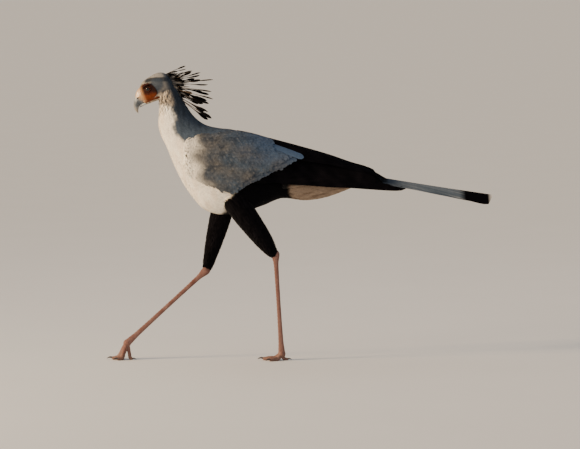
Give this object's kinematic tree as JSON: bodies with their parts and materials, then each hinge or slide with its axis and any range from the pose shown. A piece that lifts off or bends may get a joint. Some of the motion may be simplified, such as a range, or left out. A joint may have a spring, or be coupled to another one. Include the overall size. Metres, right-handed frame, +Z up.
{
  "type": "secretary bird",
  "caption": "Life-size walking secretary bird on long legs, head bowed, with a fanned crest, folded layered wings and a long tail; a still display model that stands on its own feet.",
  "frame": {"origin": "on the floor, under the middle of the whole bird from its front claws to its tail tip", "axes": "-X the way the bird walks, -Y its left side, +Z up; +X runs to the tail tip"},
  "size_m": [1.1203, 0.1778, 0.8556],
  "materials": {
    "pale_feather": "matt pale grey feathers",
    "grey_feather": "matt blue-grey feathers",
    "black_feather": "matt black feathers",
    "white_feather": "matt creamy white feathers",
    "horn_grey": "smooth horn of the bill",
    "eye_brown": "wet dark brown eye",
    "leg_pink": "scaly pinkish skin",
    "claw_dark": "dark horn of the claws"
  },
  "bodies": {
    "root": {"head": "pale_feather", "crest": "black_feather", "neck": "grey_feather", "bill_upper": "horn_grey", "bill_lower": "horn_grey", "eye_left": "eye_brown", "eye_right": "eye_brown", "torso": "white_feather", "wing_left": "grey_feather", "wing_right": "grey_feather", "tail": "grey_feather", "thigh_left": "black_feather", "shank_left": "leg_pink", "foot_left": "leg_pink", "claw_left_1": "claw_dark", "claw_left_2": "claw_dark", "claw_left_3": "claw_dark", "claw_left_4": "claw_dark", "thigh_right": "black_feather", "shank_right": "leg_pink", "foot_right": "leg_pink", "claw_right_1": "claw_dark", "claw_right_2": "claw_dark", "claw_right_3": "claw_dark", "claw_right_4": "claw_dark"}
  },
  "joints": []
}
